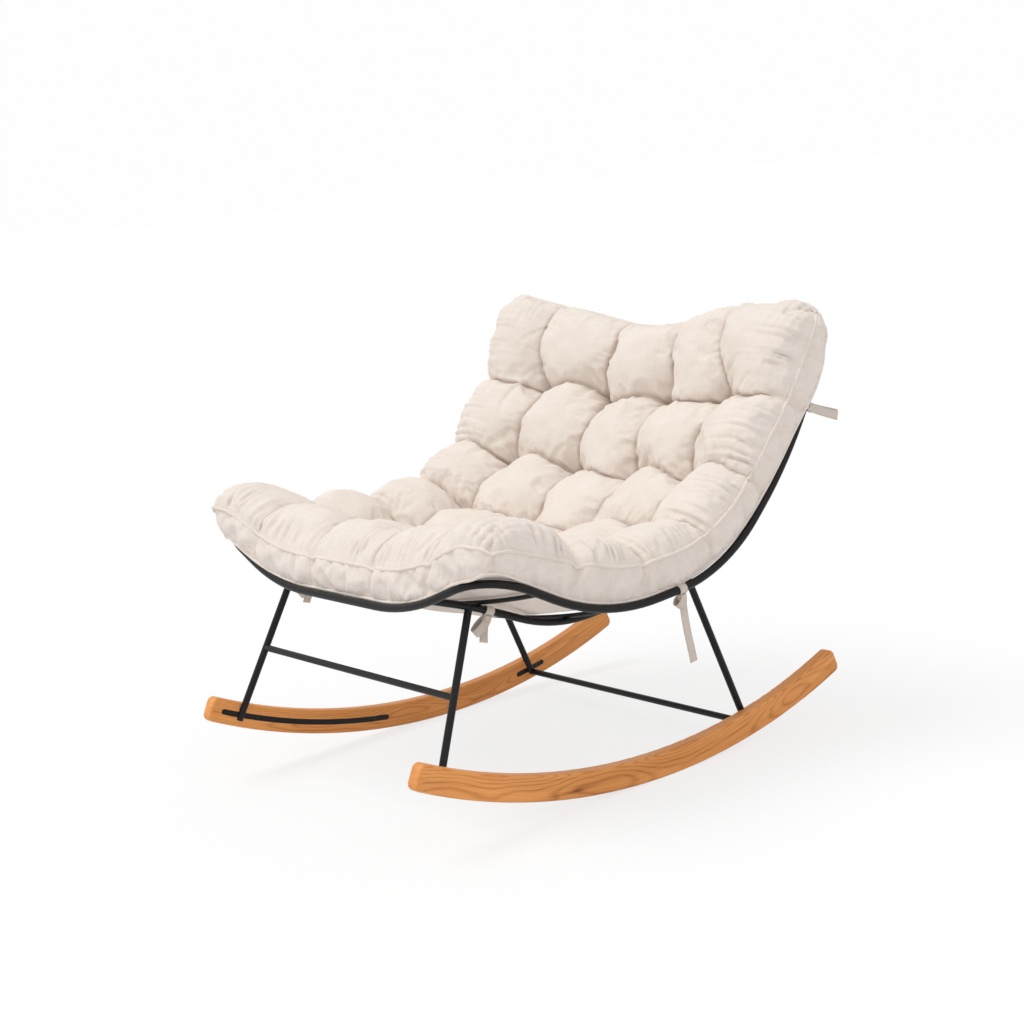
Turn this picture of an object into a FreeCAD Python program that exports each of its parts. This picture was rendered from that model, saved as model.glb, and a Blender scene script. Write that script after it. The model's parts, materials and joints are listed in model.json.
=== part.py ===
import FreeCAD, Part
import Sketcher
import math
import os

from FreeCAD import Placement, Rotation, Vector

os.makedirs("parts", exist_ok=True)
doc = FreeCAD.newDocument("RockingChair")

# Driving dimensions in millimetres and degrees; +X is the sitter's left, -Y the front. The chair is drawn
# on a floor at Z = 0 that its rockers touch at contact_y; empty, it rests rolled back by rest_roll.
driving = [
    # wooden rockers
    ("rocker_reach", 498), ("rocker_radius", 1235), ("rocker_height", 46), ("rocker_width", 26),
    ("rocker_gap", 620), ("contact_y", -85), ("rocker_end_round", 12), ("rocker_edge_round", 5),
    ("rest_roll", 6.8),
    # tubes and rods of the steel frame
    ("rim_diameter", 14), ("leg_diameter", 13), ("bearer_diameter", 13), ("crossbar_diameter", 12),
    ("rod_diameter", 8), ("rod_count", 6), ("rod_first", 115), ("rod_last", 950), ("rod_end_run", 16),
    # seat rim: bend points of the side rail and the lowest points of the front and top edges
    ("rail_x", 408), ("corner_radius", 80),
    ("front_corner_y", -410), ("front_corner_z", 416), ("seat_dip_y", -161), ("seat_dip_z", 319),
    ("back_bend_y", 112), ("back_bend_z", 374), ("back_mid_y", 272), ("back_mid_z", 568),
    ("top_corner_y", 372), ("top_corner_z", 812), ("edge_bend_x", 200),
    ("front_edge_y", -414), ("front_edge_z", 329), ("top_edge_y", 416), ("top_edge_z", 764),
    ("rod_sag", 55),
    # bearers: under the first rod, and then at the height of the rods, which pass through them
    ("bearer_front_x", 266), ("bearer_rear_x", 310), ("weld_depth", 1.5),
    # legs, crossbars and the bars let into the rockers
    ("front_leg_top_y", -336), ("front_foot_inset", 70), ("rear_leg_top_y", 112), ("rear_foot_y", 268),
    ("foot_drop", 10), ("front_crossbar_z", 198), ("rear_crossbar_z", 69), ("crossbar_inset", 1.6),
    ("bar_height", 10), ("bar_depth", 10), ("front_bar_inset", 34), ("front_bar_length", 366),
    ("rear_bar_half", 31), ("seat_clearance", 0.3),
    # countersunk wood screws
    ("screw_head", 7.5), ("screw_shank", 3.6), ("screw_length", 22), ("screw_sink", 3),
    ("screw_from_leg", 36), ("screw_from_end", 28), ("rear_screw_from_leg", 20),
    # tufted cushion
    ("cushion_front_width", 862), ("cushion_waist_width", 846), ("cushion_top_width", 856),
    ("cushion_front_y", -412), ("cushion_front_z", 408), ("cushion_top_cut", 10), ("top_lean", 62),
    ("front_lip", 0.06), ("front_zone", 0.2), ("top_zone", 0.25), ("cells_across", 5), ("cells_along", 6),
    ("band_height", 57), ("corner_pinch", 26), ("crown_thickness", 122), ("crease_thickness", 98),
    ("tuft_thickness", 62), ("side_bulge", 7), ("side_tuck", 20),
    # cloth ties
    ("tie_width", 16), ("tie_thickness", 2.4), ("knot_wall", 3), ("front_tail", 45), ("side_tail", 118),
    ("back_tail", 66), ("side_tie_y", 8), ("back_tie_z", 656), ("front_tie_y", -297),
]
sheet = doc.addObject("Spreadsheet::Sheet", "Sizes")
for row, (alias, number) in enumerate(driving, 1):
    sheet.set(f"A{row}", alias)
    sheet.set(f"B{row}", str(number))
    sheet.setAlias(f"B{row}", alias)
doc.recompute()


def size(alias):
    return float(sheet.get(alias))


drawn = {}


def node(label, feature):
    feature.Label = f"drawn_{label}"
    drawn[label] = feature
    return feature


def solidFeature(label, shape):
    feature = doc.addObject("Part::Feature", label)
    feature.Shape = shape
    feature.Placement = Placement()
    return feature


def mirrored(label, source):
    feature = doc.addObject("Part::Mirroring", label)
    feature.Source = source
    feature.Normal = Vector(1, 0, 0)
    feature.Base = Vector(0, 0, 0)
    return feature


def cutBy(label, base, tool):
    feature = doc.addObject("Part::Cut", label)
    feature.Base = base
    feature.Tool = tool
    return feature


# Bent tube: straight runs between the points, joined by tangent arcs
def bentPath(points, radii, share=0.45):
    edges = []
    last = points[0]
    for before, here, after, radius in zip(points, points[1:], points[2:], radii):
        back = (before - here).normalize()
        ahead = (after - here).normalize()
        halfTurn = (math.pi - back.getAngle(ahead)) / 2
        run = min((before - here).Length, (after - here).Length)
        bend = min(radius, share * run / math.tan(halfTurn))
        setback = bend * math.tan(halfTurn)
        bisector = (back + ahead).normalize()
        centre = here + bisector * (bend / math.cos(halfTurn))
        arcStart = here + back * setback
        arcEnd = here + ahead * setback
        edges.append(Part.LineSegment(last, arcStart).toShape())
        edges.append(Part.Arc(arcStart, centre - bisector * bend, arcEnd).toShape())
        last = arcEnd
    edges.append(Part.LineSegment(last, points[-1]).toShape())
    return Part.Wire(edges)


def tubeAlong(path, diameter):
    first = path.OrderedEdges[0]
    start = first.valueAt(first.FirstParameter)
    ring = Part.Wire(Part.makeCircle(diameter / 2, start, first.tangentAt(first.FirstParameter)))
    return path.makePipeShell([ring], True, False)


def rodBetween(label, start, end, diameter):
    rod = doc.addObject("Part::Cylinder", label)
    rod.setExpression("Radius", f"Sizes.{diameter} / 2")
    rod.Height = (end - start).Length
    rod.Placement = Placement(start, Rotation(Vector(0, 0, 1), end - start))
    return rod


# Point of a path where one of its coordinates reaches a value
def pathAt(path, axis, value):
    normal = [Vector(1, 0, 0), Vector(0, 1, 0), Vector(0, 0, 1)][axis]
    wideEnough = 8 * size("rocker_reach")
    far = Part.makePlane(wideEnough, wideEnough, Vector(0, 0, 0), normal)
    middle = far.CenterOfMass
    far.translate(normal * value - middle + normal * middle.dot(normal))
    return path.section(far).Vertexes[0].Point


# Point and direction at a distance along a path; past an end it carries straight on
def alongPath(path, distance):
    edges = path.OrderedEdges
    for place, edge in enumerate(edges):
        if distance <= edge.Length or place == len(edges) - 1:
            inside = max(0.0, min(distance, edge.Length))
            at = edge.getParameterByLength(inside)
            direction = edge.tangentAt(at).normalize()
            return edge.valueAt(at) + direction * (distance - inside), direction
        distance -= edge.Length


# Side rail, half of the rim and its mirror image
railX = size("rail_x")
frontCorner = Vector(railX, size("front_corner_y"), size("front_corner_z"))
seatDip = Vector(railX, size("seat_dip_y"), size("seat_dip_z"))
backBend = Vector(railX, size("back_bend_y"), size("back_bend_z"))
backMid = Vector(railX, size("back_mid_y"), size("back_mid_z"))
topCorner = Vector(railX, size("top_corner_y"), size("top_corner_z"))
edgeBendX = size("edge_bend_x")
frontEdge = Vector(edgeBendX, size("front_edge_y"), size("front_edge_z"))
topEdge = Vector(edgeBendX, size("top_edge_y"), size("top_edge_z"))
wide = 1e6
corner = size("corner_radius")

railPath = bentPath([frontCorner, seatDip, backBend, backMid, topCorner], [wide, wide, wide])
rimPoints = [
    Vector(0, frontEdge.y, frontEdge.z), frontEdge, frontCorner, seatDip, backBend, backMid, topCorner,
    topEdge, Vector(0, topEdge.y, topEdge.z),
]
rimPath = bentPath(rimPoints, [wide, corner, wide, wide, wide, corner, wide])
rimHalf = solidFeature("rim_half", tubeAlong(rimPath, size("rim_diameter")))
rimOther = mirrored("rim_half_mirror", rimHalf)
rim = doc.addObject("Part::Fuse", "seat_rim")
rim.Base = rimHalf
rim.Tool = rimOther
rim.Refine = True
node("seat_rim", rim)
doc.recompute()

# Bearers follow the sagging rods, from the front edge of the rim to its top edge
sag = size("rod_sag")
rodCount = int(size("rod_count"))
rodStep = (size("rod_last") - size("rod_first")) / (rodCount - 1)


def sagAt(x):
    return sag * (1 - (x / railX) ** 2)


def upFrom(direction):
    return Vector(0, -direction.z, direction.y)


# Bend point of a bearer under a bend point of the rail
def belowRail(here, before, after, x):
    ahead = (after - here).normalize()
    behind = (here - before).normalize()
    up = upFrom(ahead + behind).normalize()
    lean = math.cos(ahead.getAngle(behind) / 2)
    point = here - up * (sagAt(x) / lean)
    return Vector(x, point.y, point.z)


frontX = size("bearer_front_x")
rearX = size("bearer_rear_x")
firstRod, railRun = alongPath(railPath, size("rod_first"))
rodToBearer = (size("rod_diameter") + size("bearer_diameter")) / 2 - size("weld_depth")
underFirstRod = firstRod - upFrom(railRun) * (sagAt(frontX) + rodToBearer)
bearerPath = bentPath([
    pathAt(rimPath, 0, frontX),
    Vector(frontX, underFirstRod.y, underFirstRod.z),
    belowRail(seatDip, frontCorner, backBend, (2 * frontX + rearX) / 3),
    belowRail(backBend, seatDip, backMid, rearX),
    belowRail(backMid, backBend, topCorner, rearX),
    pathAt(Part.Wire(rimPath.OrderedEdges[-6:]), 0, rearX),
], [wide] * 4)
bearerTube = solidFeature("bearer_tube", tubeAlong(bearerPath, size("bearer_diameter")))

# Thin rods from rail to rail, square to the rail: a shallow arc with a short straight run at each end
endRun = size("rod_end_run")
rodRadius = (railX ** 2 + sag ** 2 - endRun ** 2) / (2 * sag)
arcAngle = math.atan2(railX, rodRadius - sag) - math.atan2(endRun, rodRadius)
arcX = rodRadius * math.sin(arcAngle)
arcDrop = sag - rodRadius * (1 - math.cos(arcAngle))
rodTubes = []
for index in range(rodCount):
    place, direction = alongPath(railPath, size("rod_first") + index * rodStep)
    up = upFrom(direction)
    ends = [Vector(x, place.y, place.z) for x in (railX, -railX)]
    arcEnds = [Vector(x, place.y, place.z) - up * arcDrop for x in (arcX, -arcX)]
    bottom = Vector(0, place.y, place.z) - up * sag
    rodPath = Part.Wire([
        Part.LineSegment(ends[0], arcEnds[0]).toShape(), Part.Arc(arcEnds[0], bottom, arcEnds[1]).toShape(),
        Part.LineSegment(arcEnds[1], ends[1]).toShape(),
    ])
    rodTube = solidFeature(f"rod_arc_{index + 1}", tubeAlong(rodPath, size("rod_diameter")))
    node(f"cross_rod_{index + 1}", cutBy(f"cross_rod_{index + 1}", rodTube, rim))
    rodTubes.append(rodTube)
bearerCutters = doc.addObject("Part::Compound", "bearer_cutters")
bearerCutters.Links = [rim] + rodTubes
bearerLeft = node("seat_bearer_left", cutBy("seat_bearer_left", bearerTube, bearerCutters))
node("seat_bearer_right", mirrored("seat_bearer_right", bearerLeft))
doc.recompute()

# Rocker arc: height of its lower face and of its middle line at a place along the chair
contactY = size("contact_y")
rockerRadius = size("rocker_radius")
innerFace = size("rocker_gap") / 2
middleRadius = rockerRadius - size("rocker_height") / 2


def middleHeight(y):
    return rockerRadius - math.sqrt(middleRadius ** 2 - (y - contactY) ** 2)


# Straight legs from the rockers' inner faces up to the bearers
frontFoot = size("front_foot_inset") - size("rocker_reach")
rearFoot = size("rear_foot_y")
legPlaces = {"front_leg": (frontFoot, "front_leg_top_y"), "rear_leg": (rearFoot, "rear_leg_top_y")}
legAxis = {}
legTube = {}
for name, (footPlace, topName) in legPlaces.items():
    crossing = Vector(innerFace, footPlace, middleHeight(footPlace))
    head = pathAt(bearerPath, 1, size(topName))
    upLeg = (head - crossing).normalize()
    foot = crossing - upLeg * size("foot_drop")
    legAxis[name] = (crossing, upLeg)
    legTube[name] = rodBetween(f"{name}_tube", foot, head, "leg_diameter")
    legLeft = node(f"{name}_left", cutBy(f"{name}_left", legTube[name], bearerTube))
    node(f"{name}_right", mirrored(f"{name}_right", legLeft))

# Crossbars meet the legs on both sides
for name, heightName in (("front", "front_crossbar_z"), ("rear", "rear_crossbar_z")):
    crossing, upLeg = legAxis[f"{name}_leg"]
    reach = crossing + upLeg * ((size(heightName) - crossing.z) / upLeg.z)
    reach.x -= size("crossbar_inset")
    bar = rodBetween(f"{name}_bar_tube", Vector(-reach.x, reach.y, reach.z), reach, "crossbar_diameter")
    legs = doc.addObject("Part::Compound", f"{name}_legs")
    legs.Links = [legTube[f"{name}_leg"], mirrored(f"{name}_leg_tube_mirror", legTube[f"{name}_leg"])]
    node(f"{name}_crossbar", cutBy(f"{name}_crossbar", bar, legs))
doc.recompute()


def sidePlane(body):
    return [plane for plane in body.Origin.OriginFeatures if plane.Role == "YZ_Plane"][0]


# Sketch in the plane of the left rocker's inner face
def innerFaceSketch(body, name):
    sketch = body.newObject("Sketcher::SketchObject", name)
    sketch.AttachmentSupport = [(sidePlane(body), "")]
    sketch.MapMode = "FlatFace"
    sketch.setExpression("AttachmentOffset.Base.z", "Sizes.rocker_gap / 2")
    return sketch


def arcAbout(centre, radius, start, end):
    circle = Part.Circle(centre, Vector(0, 0, 1), radius)
    return Part.ArcOfCircle(circle, start, end)


def place(sketch, geometry, point, x, y):
    across = sketch.addConstraint(Sketcher.Constraint("DistanceX", -1, 1, geometry, point, x[0]))
    sketch.setExpression(f"Constraints[{across}]", x[1])
    if y:
        upward = sketch.addConstraint(Sketcher.Constraint("DistanceY", -1, 1, geometry, point, y[0]))
        sketch.setExpression(f"Constraints[{upward}]", y[1])


def setRadius(sketch, geometry, radius, expression):
    number = sketch.addConstraint(Sketcher.Constraint("Radius", geometry, radius))
    sketch.setExpression(f"Constraints[{number}]", expression)


# Angle about the rocker's centre at which a circle of some radius has a given place along the chair
def angleAt(y, radius):
    return -math.pi / 2 + math.asin((y - contactY) / radius)


rockerCentre = Vector(contactY, rockerRadius, 0)
centreExpression = ((contactY, "Sizes.contact_y"), (rockerRadius, "Sizes.rocker_radius"))


# Curved slot along the rocker's middle line, with round ends at two places along the chair
def curvedSlot(sketch, start, end, height, heightExpression):
    first, last = angleAt(start[0], middleRadius), angleAt(end[0], middleRadius)
    outer = sketch.addGeometry(arcAbout(rockerCentre, middleRadius + height / 2, first, last))
    inner = sketch.addGeometry(arcAbout(rockerCentre, middleRadius - height / 2, first, last))
    ends = []
    for angle, turn in ((first, math.pi), (last, 0)):
        capCentre = rockerCentre + Vector(math.cos(angle), math.sin(angle), 0) * middleRadius
        ends.append(sketch.addGeometry(arcAbout(capCentre, height / 2, angle + turn, angle + turn + math.pi)))
    front, rear = ends
    sketch.addConstraint(Sketcher.Constraint("Coincident", outer, 3, inner, 3))
    sketch.addConstraint(Sketcher.Constraint("Tangent", front, 2, outer, 1))
    sketch.addConstraint(Sketcher.Constraint("Tangent", front, 1, inner, 1))
    sketch.addConstraint(Sketcher.Constraint("Tangent", rear, 1, outer, 2))
    sketch.addConstraint(Sketcher.Constraint("Tangent", rear, 2, inner, 2))
    place(sketch, outer, 3, *centreExpression)
    middleExpression = "Sizes.rocker_radius - Sizes.rocker_height / 2"
    setRadius(sketch, outer, middleRadius + height / 2, f"{middleExpression} + ({heightExpression}) / 2")
    setRadius(sketch, inner, middleRadius - height / 2, f"{middleExpression} - ({heightExpression}) / 2")
    place(sketch, front, 3, start, None)
    place(sketch, rear, 3, end, None)


rearHalf = size("rear_bar_half")
frontBarStart = size("front_bar_inset") - size("rocker_reach")
frontBarEnd = frontBarStart + size("front_bar_length")
frontStart = "Sizes.front_bar_inset - Sizes.rocker_reach"
barSpans = {
    "front": ((frontBarStart, frontStart), (frontBarEnd, f"{frontStart} + Sizes.front_bar_length")),
    "rear": ((rearFoot - rearHalf, "Sizes.rear_foot_y - Sizes.rear_bar_half"),
             (rearFoot + rearHalf, "Sizes.rear_foot_y + Sizes.rear_bar_half")),
}

# Left rocker: a curved plank with rounded ends and edges, grooved for the bars
rockerBody = doc.addObject("PartDesign::Body", "rocker_body")
outline = innerFaceSketch(rockerBody, "rocker_outline")
reach = size("rocker_reach")
upperRadius = rockerRadius - size("rocker_height")
firstAngle, lastAngle = angleAt(-reach, rockerRadius), angleAt(reach, rockerRadius)
lower = outline.addGeometry(arcAbout(rockerCentre, rockerRadius, firstAngle, lastAngle))
upper = outline.addGeometry(arcAbout(rockerCentre, upperRadius, firstAngle, lastAngle))
endLines = []
for angle in (firstAngle, lastAngle):
    spoke = Vector(math.cos(angle), math.sin(angle), 0)
    line = Part.LineSegment(rockerCentre + spoke * rockerRadius, rockerCentre + spoke * upperRadius)
    endLines.append(outline.addGeometry(line))
outline.addConstraint(Sketcher.Constraint("Coincident", lower, 3, upper, 3))
for line, point in zip(endLines, (1, 2)):
    outline.addConstraint(Sketcher.Constraint("Coincident", line, 1, lower, point))
    outline.addConstraint(Sketcher.Constraint("Coincident", line, 2, upper, point))
    outline.addConstraint(Sketcher.Constraint("PointOnObject", lower, 3, line))
place(outline, lower, 3, *centreExpression)
setRadius(outline, lower, rockerRadius, "Sizes.rocker_radius")
setRadius(outline, upper, upperRadius, "Sizes.rocker_radius - Sizes.rocker_height")
place(outline, lower, 1, (-reach, "-Sizes.rocker_reach"), None)
place(outline, lower, 2, (reach, "Sizes.rocker_reach"), None)
plank = rockerBody.newObject("PartDesign::Pad", "rocker_plank")
plank.Profile = outline
plank.setExpression("Length", "Sizes.rocker_width")
doc.recompute()


def edgeNames(shape, wanted):
    return [f"Edge{number}" for number, edge in enumerate(shape.Edges, 1) if wanted(edge)]


def runsAcross(edge):
    ends = edge.Vertexes
    return len(ends) == 2 and abs(ends[0].Y - ends[1].Y) < 0.01 and abs(ends[0].Z - ends[1].Z) < 0.01


endRound = rockerBody.newObject("PartDesign::Fillet", "rocker_end_round")
endRound.Base = (plank, edgeNames(plank.Shape, runsAcross))
endRound.setExpression("Radius", "Sizes.rocker_end_round")
doc.recompute()
outlineEdges = edgeNames(endRound.Shape, lambda edge: not runsAcross(edge))
edgeRound = rockerBody.newObject("PartDesign::Fillet", "rocker_edge_round")
edgeRound.Base = (endRound, outlineEdges)
edgeRound.setExpression("Radius", "Sizes.rocker_edge_round")
doc.recompute()
grooveHeight = size("bar_height") + 2 * size("seat_clearance")
for name, (start, end) in barSpans.items():
    grooveSketch = innerFaceSketch(rockerBody, f"{name}_groove_sketch")
    curvedSlot(grooveSketch, start, end, grooveHeight, "Sizes.bar_height + 2 * Sizes.seat_clearance")
    groove = rockerBody.newObject("PartDesign::Pocket", f"{name}_groove")
    groove.Profile = grooveSketch
    groove.Reversed = True
    groove.setExpression("Length", "Sizes.bar_depth")
    doc.recompute()

# Screw places: along the front bars beside the leg and near the end, and on both sides of the rear leg
screwPlaces = [
    frontFoot + size("screw_from_leg"), frontBarEnd - size("screw_from_end"),
    rearFoot - size("rear_screw_from_leg"), rearFoot + size("rear_screw_from_leg"),
]


def screwSolid(growth):
    head = size("screw_head") / 2 + growth
    shank = size("screw_shank") / 2 + growth
    length = size("screw_length") + growth
    point = length - 2 * shank
    profile = [
        Vector(0, 0, 0), Vector(0, head, 0), Vector(size("screw_sink"), shank, 0), Vector(point, shank, 0),
        Vector(length, 0, 0), Vector(0, 0, 0),
    ]
    face = Part.Face(Part.makePolygon(profile))
    return face.revolve(Vector(0, 0, 0), Vector(1, 0, 0), 360)


def screwSet(growth):
    screws = []
    for y in screwPlaces:
        screw = screwSolid(growth)
        screw.translate(Vector(innerFace, y, middleHeight(y)))
        screws.append(screw)
    return screws


screwHoles = solidFeature("screw_holes", Part.makeCompound(screwSet(size("seat_clearance"))))
leftScrews = screwSet(0)
rightScrews = [screw.mirror(Vector(0, 0, 0), Vector(1, 0, 0)) for screw in leftScrews]
node("bar_screws", solidFeature("bar_screws", Part.makeCompound(leftScrews + rightScrews)))

# Notches that take the legs' feet, a little wider than the legs
notches = doc.addObject("Part::Compound", "foot_notches")
notchList = []
for name, tube in legTube.items():
    notch = doc.addObject("Part::Cylinder", f"{name}_notch")
    notch.setExpression("Radius", "Sizes.leg_diameter / 2 + Sizes.seat_clearance")
    notch.Height = tube.Height
    crossing, upLeg = legAxis[name]
    notch.Placement = Placement(
        tube.Placement.Base - upLeg * size("seat_clearance"), tube.Placement.Rotation)
    notchList.append(notch)
notches.Links = notchList + [screwHoles]
rockerLeft = node("rocker_left", cutBy("rocker_left", rockerBody, notches))
node("rocker_right", mirrored("rocker_right", rockerLeft))

# Bars let into the rockers, saddled for the legs and countersunk for the screws
for name, (start, end) in barSpans.items():
    barBody = doc.addObject("PartDesign::Body", f"{name}_bar_body")
    barSketch = innerFaceSketch(barBody, f"{name}_bar_sketch")
    curvedSlot(barSketch, start, end, size("bar_height"), "Sizes.bar_height")
    barPad = barBody.newObject("PartDesign::Pad", f"{name}_bar_pad")
    barPad.Profile = barSketch
    barPad.setExpression("Length", "Sizes.bar_depth")
    doc.recompute()
    barTools = doc.addObject("Part::Compound", f"{name}_bar_tools")
    barTools.Links = [legTube[f"{name}_leg"], screwHoles]
    barLeft = node(f"{name}_mount_bar_left", cutBy(f"{name}_mount_bar_left", barBody, barTools))
    node(f"{name}_mount_bar_right", mirrored(f"{name}_mount_bar_right", barLeft))
doc.recompute()

# Tufted cushion: cross-sections along the rail, joined by one ruled loft
across = int(size("cells_across"))
along = int(size("cells_along"))
lowest = size("rod_diameter") / 2 + size("seat_clearance") - sag
frontLowest = frontEdge.z + size("rim_diameter") / 2 + size("seat_clearance") - size("cushion_front_z")
edgeFloor = size("rim_diameter") / 2 + size("knot_wall") + 2 * size("seat_clearance")
cushionFront = Vector(railX, size("cushion_front_y"), size("cushion_front_z"))
levelShare = (size("cushion_front_z") - seatDip.z) / (frontCorner.z - seatDip.z)
levelled = seatDip + (frontCorner - seatDip) * levelShare
cushionTop = topCorner + (backMid - topCorner).normalize() * size("cushion_top_cut")
cushionPoints = [cushionFront, levelled, seatDip, backBend, backMid, cushionTop]
cushionPath = bentPath(cushionPoints, [wide] * 4, share=0.49)
cushionSteps = (0.0, 0.06, 0.2, 0.38, 0.5, 0.62, 0.8, 0.94)


# How far a cell has swelled, from 0 at a row of tufts to 1 at its crown; the two ends start at the seam
def swelling(share):
    cell = min(int(share * along), along - 1)
    inside = share * along - cell
    rise = math.sin(math.pi * inside) ** 0.5
    atEnd = (cell == 0 and inside < 0.5) or (cell == along - 1 and inside > 0.5)
    return rise, atEnd


def cushionSection(share):
    point, direction = alongPath(cushionPath, share * cushionPath.Length)
    slope = math.atan2(direction.z, direction.y)
    topShare = max(0.0, 1 - (1 - share) / size("top_zone"))
    frontShare = max(0.0, 1 - share / size("front_zone"))
    lean = slope * (1 - topShare - frontShare) + math.radians(size("top_lean")) * topShare
    out = Vector(0, -math.sin(lean), math.cos(lean))
    waist = 1 - (2 * share - 1) ** 2
    ends = size("cushion_front_width") * (1 - share) + size("cushion_top_width") * share
    half = (ends + (size("cushion_waist_width") - ends) * waist) / 2
    foot = half - size("side_tuck")
    lipShare = max(0.0, 1 - share / size("front_lip"))
    middleLow = lowest + (frontLowest - lowest) * lipShare

    def floorAt(x):
        return middleLow + (edgeFloor - middleLow) * (x / railX) ** 2

    footFloor = floorAt(foot)
    pinch = size("corner_pinch") * max(topShare, frontShare)
    seam = footFloor + size("band_height") - pinch
    rise, atEnd = swelling(share)
    low = size("band_height") if atEnd else size("crease_thickness")
    crown = low + (size("crown_thickness") - low) * rise
    low = size("band_height") if atEnd else size("tuft_thickness")
    crease = low + (size("crease_thickness") - low) * rise

    def spot(x, height):
        return Vector(x, point.y, point.z) + out * height

    def arc(x1, h1, x2, h2, x3, h3):
        return Part.Arc(spot(x1, h1), spot(x2, h2), spot(x3, h3)).toShape()

    bulge = size("side_bulge")
    knots = [half - 2 * half * cell / across for cell in range(across + 1)]
    heights = [seam] + [floorAt(x) + crease for x in knots[1:-1]] + [seam]
    sideMiddle = (footFloor + seam) / 2
    edges = [arc(-foot, footFloor, 0, middleLow, foot, footFloor)]
    edges.append(arc(foot, footFloor, half + bulge, sideMiddle, half, seam))
    for x1, h1, x2, h2 in zip(knots, heights, knots[1:], heights[1:]):
        middle = (x1 + x2) / 2
        edges.append(arc(x1, h1, middle, floorAt(middle) + crown, x2, h2))
    edges.append(arc(-half, seam, -half - bulge, sideMiddle, -foot, footFloor))
    return Part.Wire(edges)


sections = [cushionSection((cell + step) / along) for cell in range(along) for step in cushionSteps]
sections.append(cushionSection(1))
node("seat_cushion", solidFeature("seat_cushion", Part.makeLoft(sections, True, True)))


# Cloth tie: a band wound round a tube and a flat tail that leaves it square to the tube
def clothTie(centre, axis, tubeDiameter, towards, tailLength):
    inner = tubeDiameter / 2 + size("seat_clearance")
    outer = inner + size("knot_wall")
    width = size("tie_width")
    start = centre - axis * (width / 2)
    knot = Part.makeCylinder(outer, width, start, axis)
    knot = knot.cut(Part.makeCylinder(inner, width, start, axis))
    hang = (towards - axis * axis.dot(towards)).normalize()
    tail = Part.makeBox(width, size("tie_thickness"), tailLength + size("knot_wall") / 2)
    tail.translate(Vector(-width / 2, -size("tie_thickness") / 2, 0))
    turn = Rotation(axis, hang.cross(axis), hang, "ZXY")
    fromKnot = Placement(centre + hang * (inner + size("knot_wall") / 2), turn)
    tail.Placement = fromKnot.multiply(tail.Placement)
    return knot.fuse(tail).removeSplitter()


def tangentAt(path, point):
    nearest = min(path.OrderedEdges, key=lambda edge: edge.distToShape(Part.Vertex(point))[0])
    return nearest.tangentAt(nearest.Curve.parameter(point)).normalize()


ties = {
    "tie_front": (bearerPath, 1, "front_tie_y", "bearer_diameter", Vector(0, 0.15, -1), "front_tail"),
    "tie_side": (railPath, 1, "side_tie_y", "rim_diameter", Vector(0, 0.1, -1), "side_tail"),
    "tie_back": (railPath, 2, "back_tie_z", "rim_diameter", Vector(0, 1, -0.12), "back_tail"),
}
for name, (path, axisNumber, placeName, diameterName, direction, tailName) in ties.items():
    centre = pathAt(path, axisNumber, size(placeName))
    tie = clothTie(centre, tangentAt(path, centre), size(diameterName), direction, size(tailName))
    tieLeft = node(f"{name}_left", solidFeature(f"{name}_left", tie))
    node(f"{name}_right", mirrored(f"{name}_right", tieLeft))
doc.recompute()

# The chair at rest: rolled back about the rockers' centre line, with the middle of its depth at the origin
rockerAxis = Vector(0, contactY, rockerRadius)
rollBack = Placement(Vector(0, 0, 0), Rotation(Vector(1, 0, 0), -size("rest_roll")), rockerAxis)
depth = FreeCAD.BoundBox()
for label in ("rocker_left", "seat_rim"):
    rolled = drawn[label].Shape.copy()
    rolled.Placement = rollBack.multiply(rolled.Placement)
    depth.add(rolled.optimalBoundingBox(False))
atRest = Placement(Vector(0, -depth.Center.y, 0), Rotation()).multiply(rollBack)
subparts = []
for label, feature in drawn.items():
    standing = doc.addObject("Part::Compound", f"standing_{label}")
    standing.Label = label
    standing.Links = [feature]
    standing.Placement = atRest
    subparts.append(standing)
doc.recompute()
print("floor contact at y", round(contactY - depth.Center.y, 2))

# Every object is sound before anything is written
for item in doc.Objects:
    if "Invalid" in item.State or "Error" in item.State:
        raise RuntimeError(f"{item.Label} failed: {item.State}")
for item in subparts:
    if item.Shape.isNull() or not item.Shape.isValid():
        raise RuntimeError(f"{item.Label} has no valid shape")
for item in subparts:
    item.Shape.exportStep(f"parts/{item.Label}.step")
    print(item.Label, len(item.Shape.Solids), round(item.Shape.Volume / 1000, 1), "cm3")
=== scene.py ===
import bpy
import json
import numpy as np
from mathutils import Matrix, Vector


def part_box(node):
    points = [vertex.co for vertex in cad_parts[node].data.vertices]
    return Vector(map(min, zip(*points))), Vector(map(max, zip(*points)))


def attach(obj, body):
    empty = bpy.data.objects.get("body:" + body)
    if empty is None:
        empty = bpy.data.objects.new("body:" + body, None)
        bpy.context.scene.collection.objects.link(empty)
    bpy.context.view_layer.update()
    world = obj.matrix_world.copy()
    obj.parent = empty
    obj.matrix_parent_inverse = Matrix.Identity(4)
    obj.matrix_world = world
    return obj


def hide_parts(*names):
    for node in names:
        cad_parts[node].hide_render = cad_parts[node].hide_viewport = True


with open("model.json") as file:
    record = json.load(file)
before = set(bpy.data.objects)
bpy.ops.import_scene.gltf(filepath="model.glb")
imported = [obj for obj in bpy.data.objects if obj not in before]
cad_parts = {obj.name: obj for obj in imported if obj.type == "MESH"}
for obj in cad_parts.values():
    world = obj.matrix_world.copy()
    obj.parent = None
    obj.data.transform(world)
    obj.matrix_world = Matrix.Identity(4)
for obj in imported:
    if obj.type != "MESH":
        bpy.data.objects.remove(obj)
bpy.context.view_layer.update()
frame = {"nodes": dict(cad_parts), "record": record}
nodes = frame["nodes"]
scene = bpy.context.scene
scene.view_settings.view_transform = "Standard"
print("frame loaded with", len(nodes), "nodes")

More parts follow.
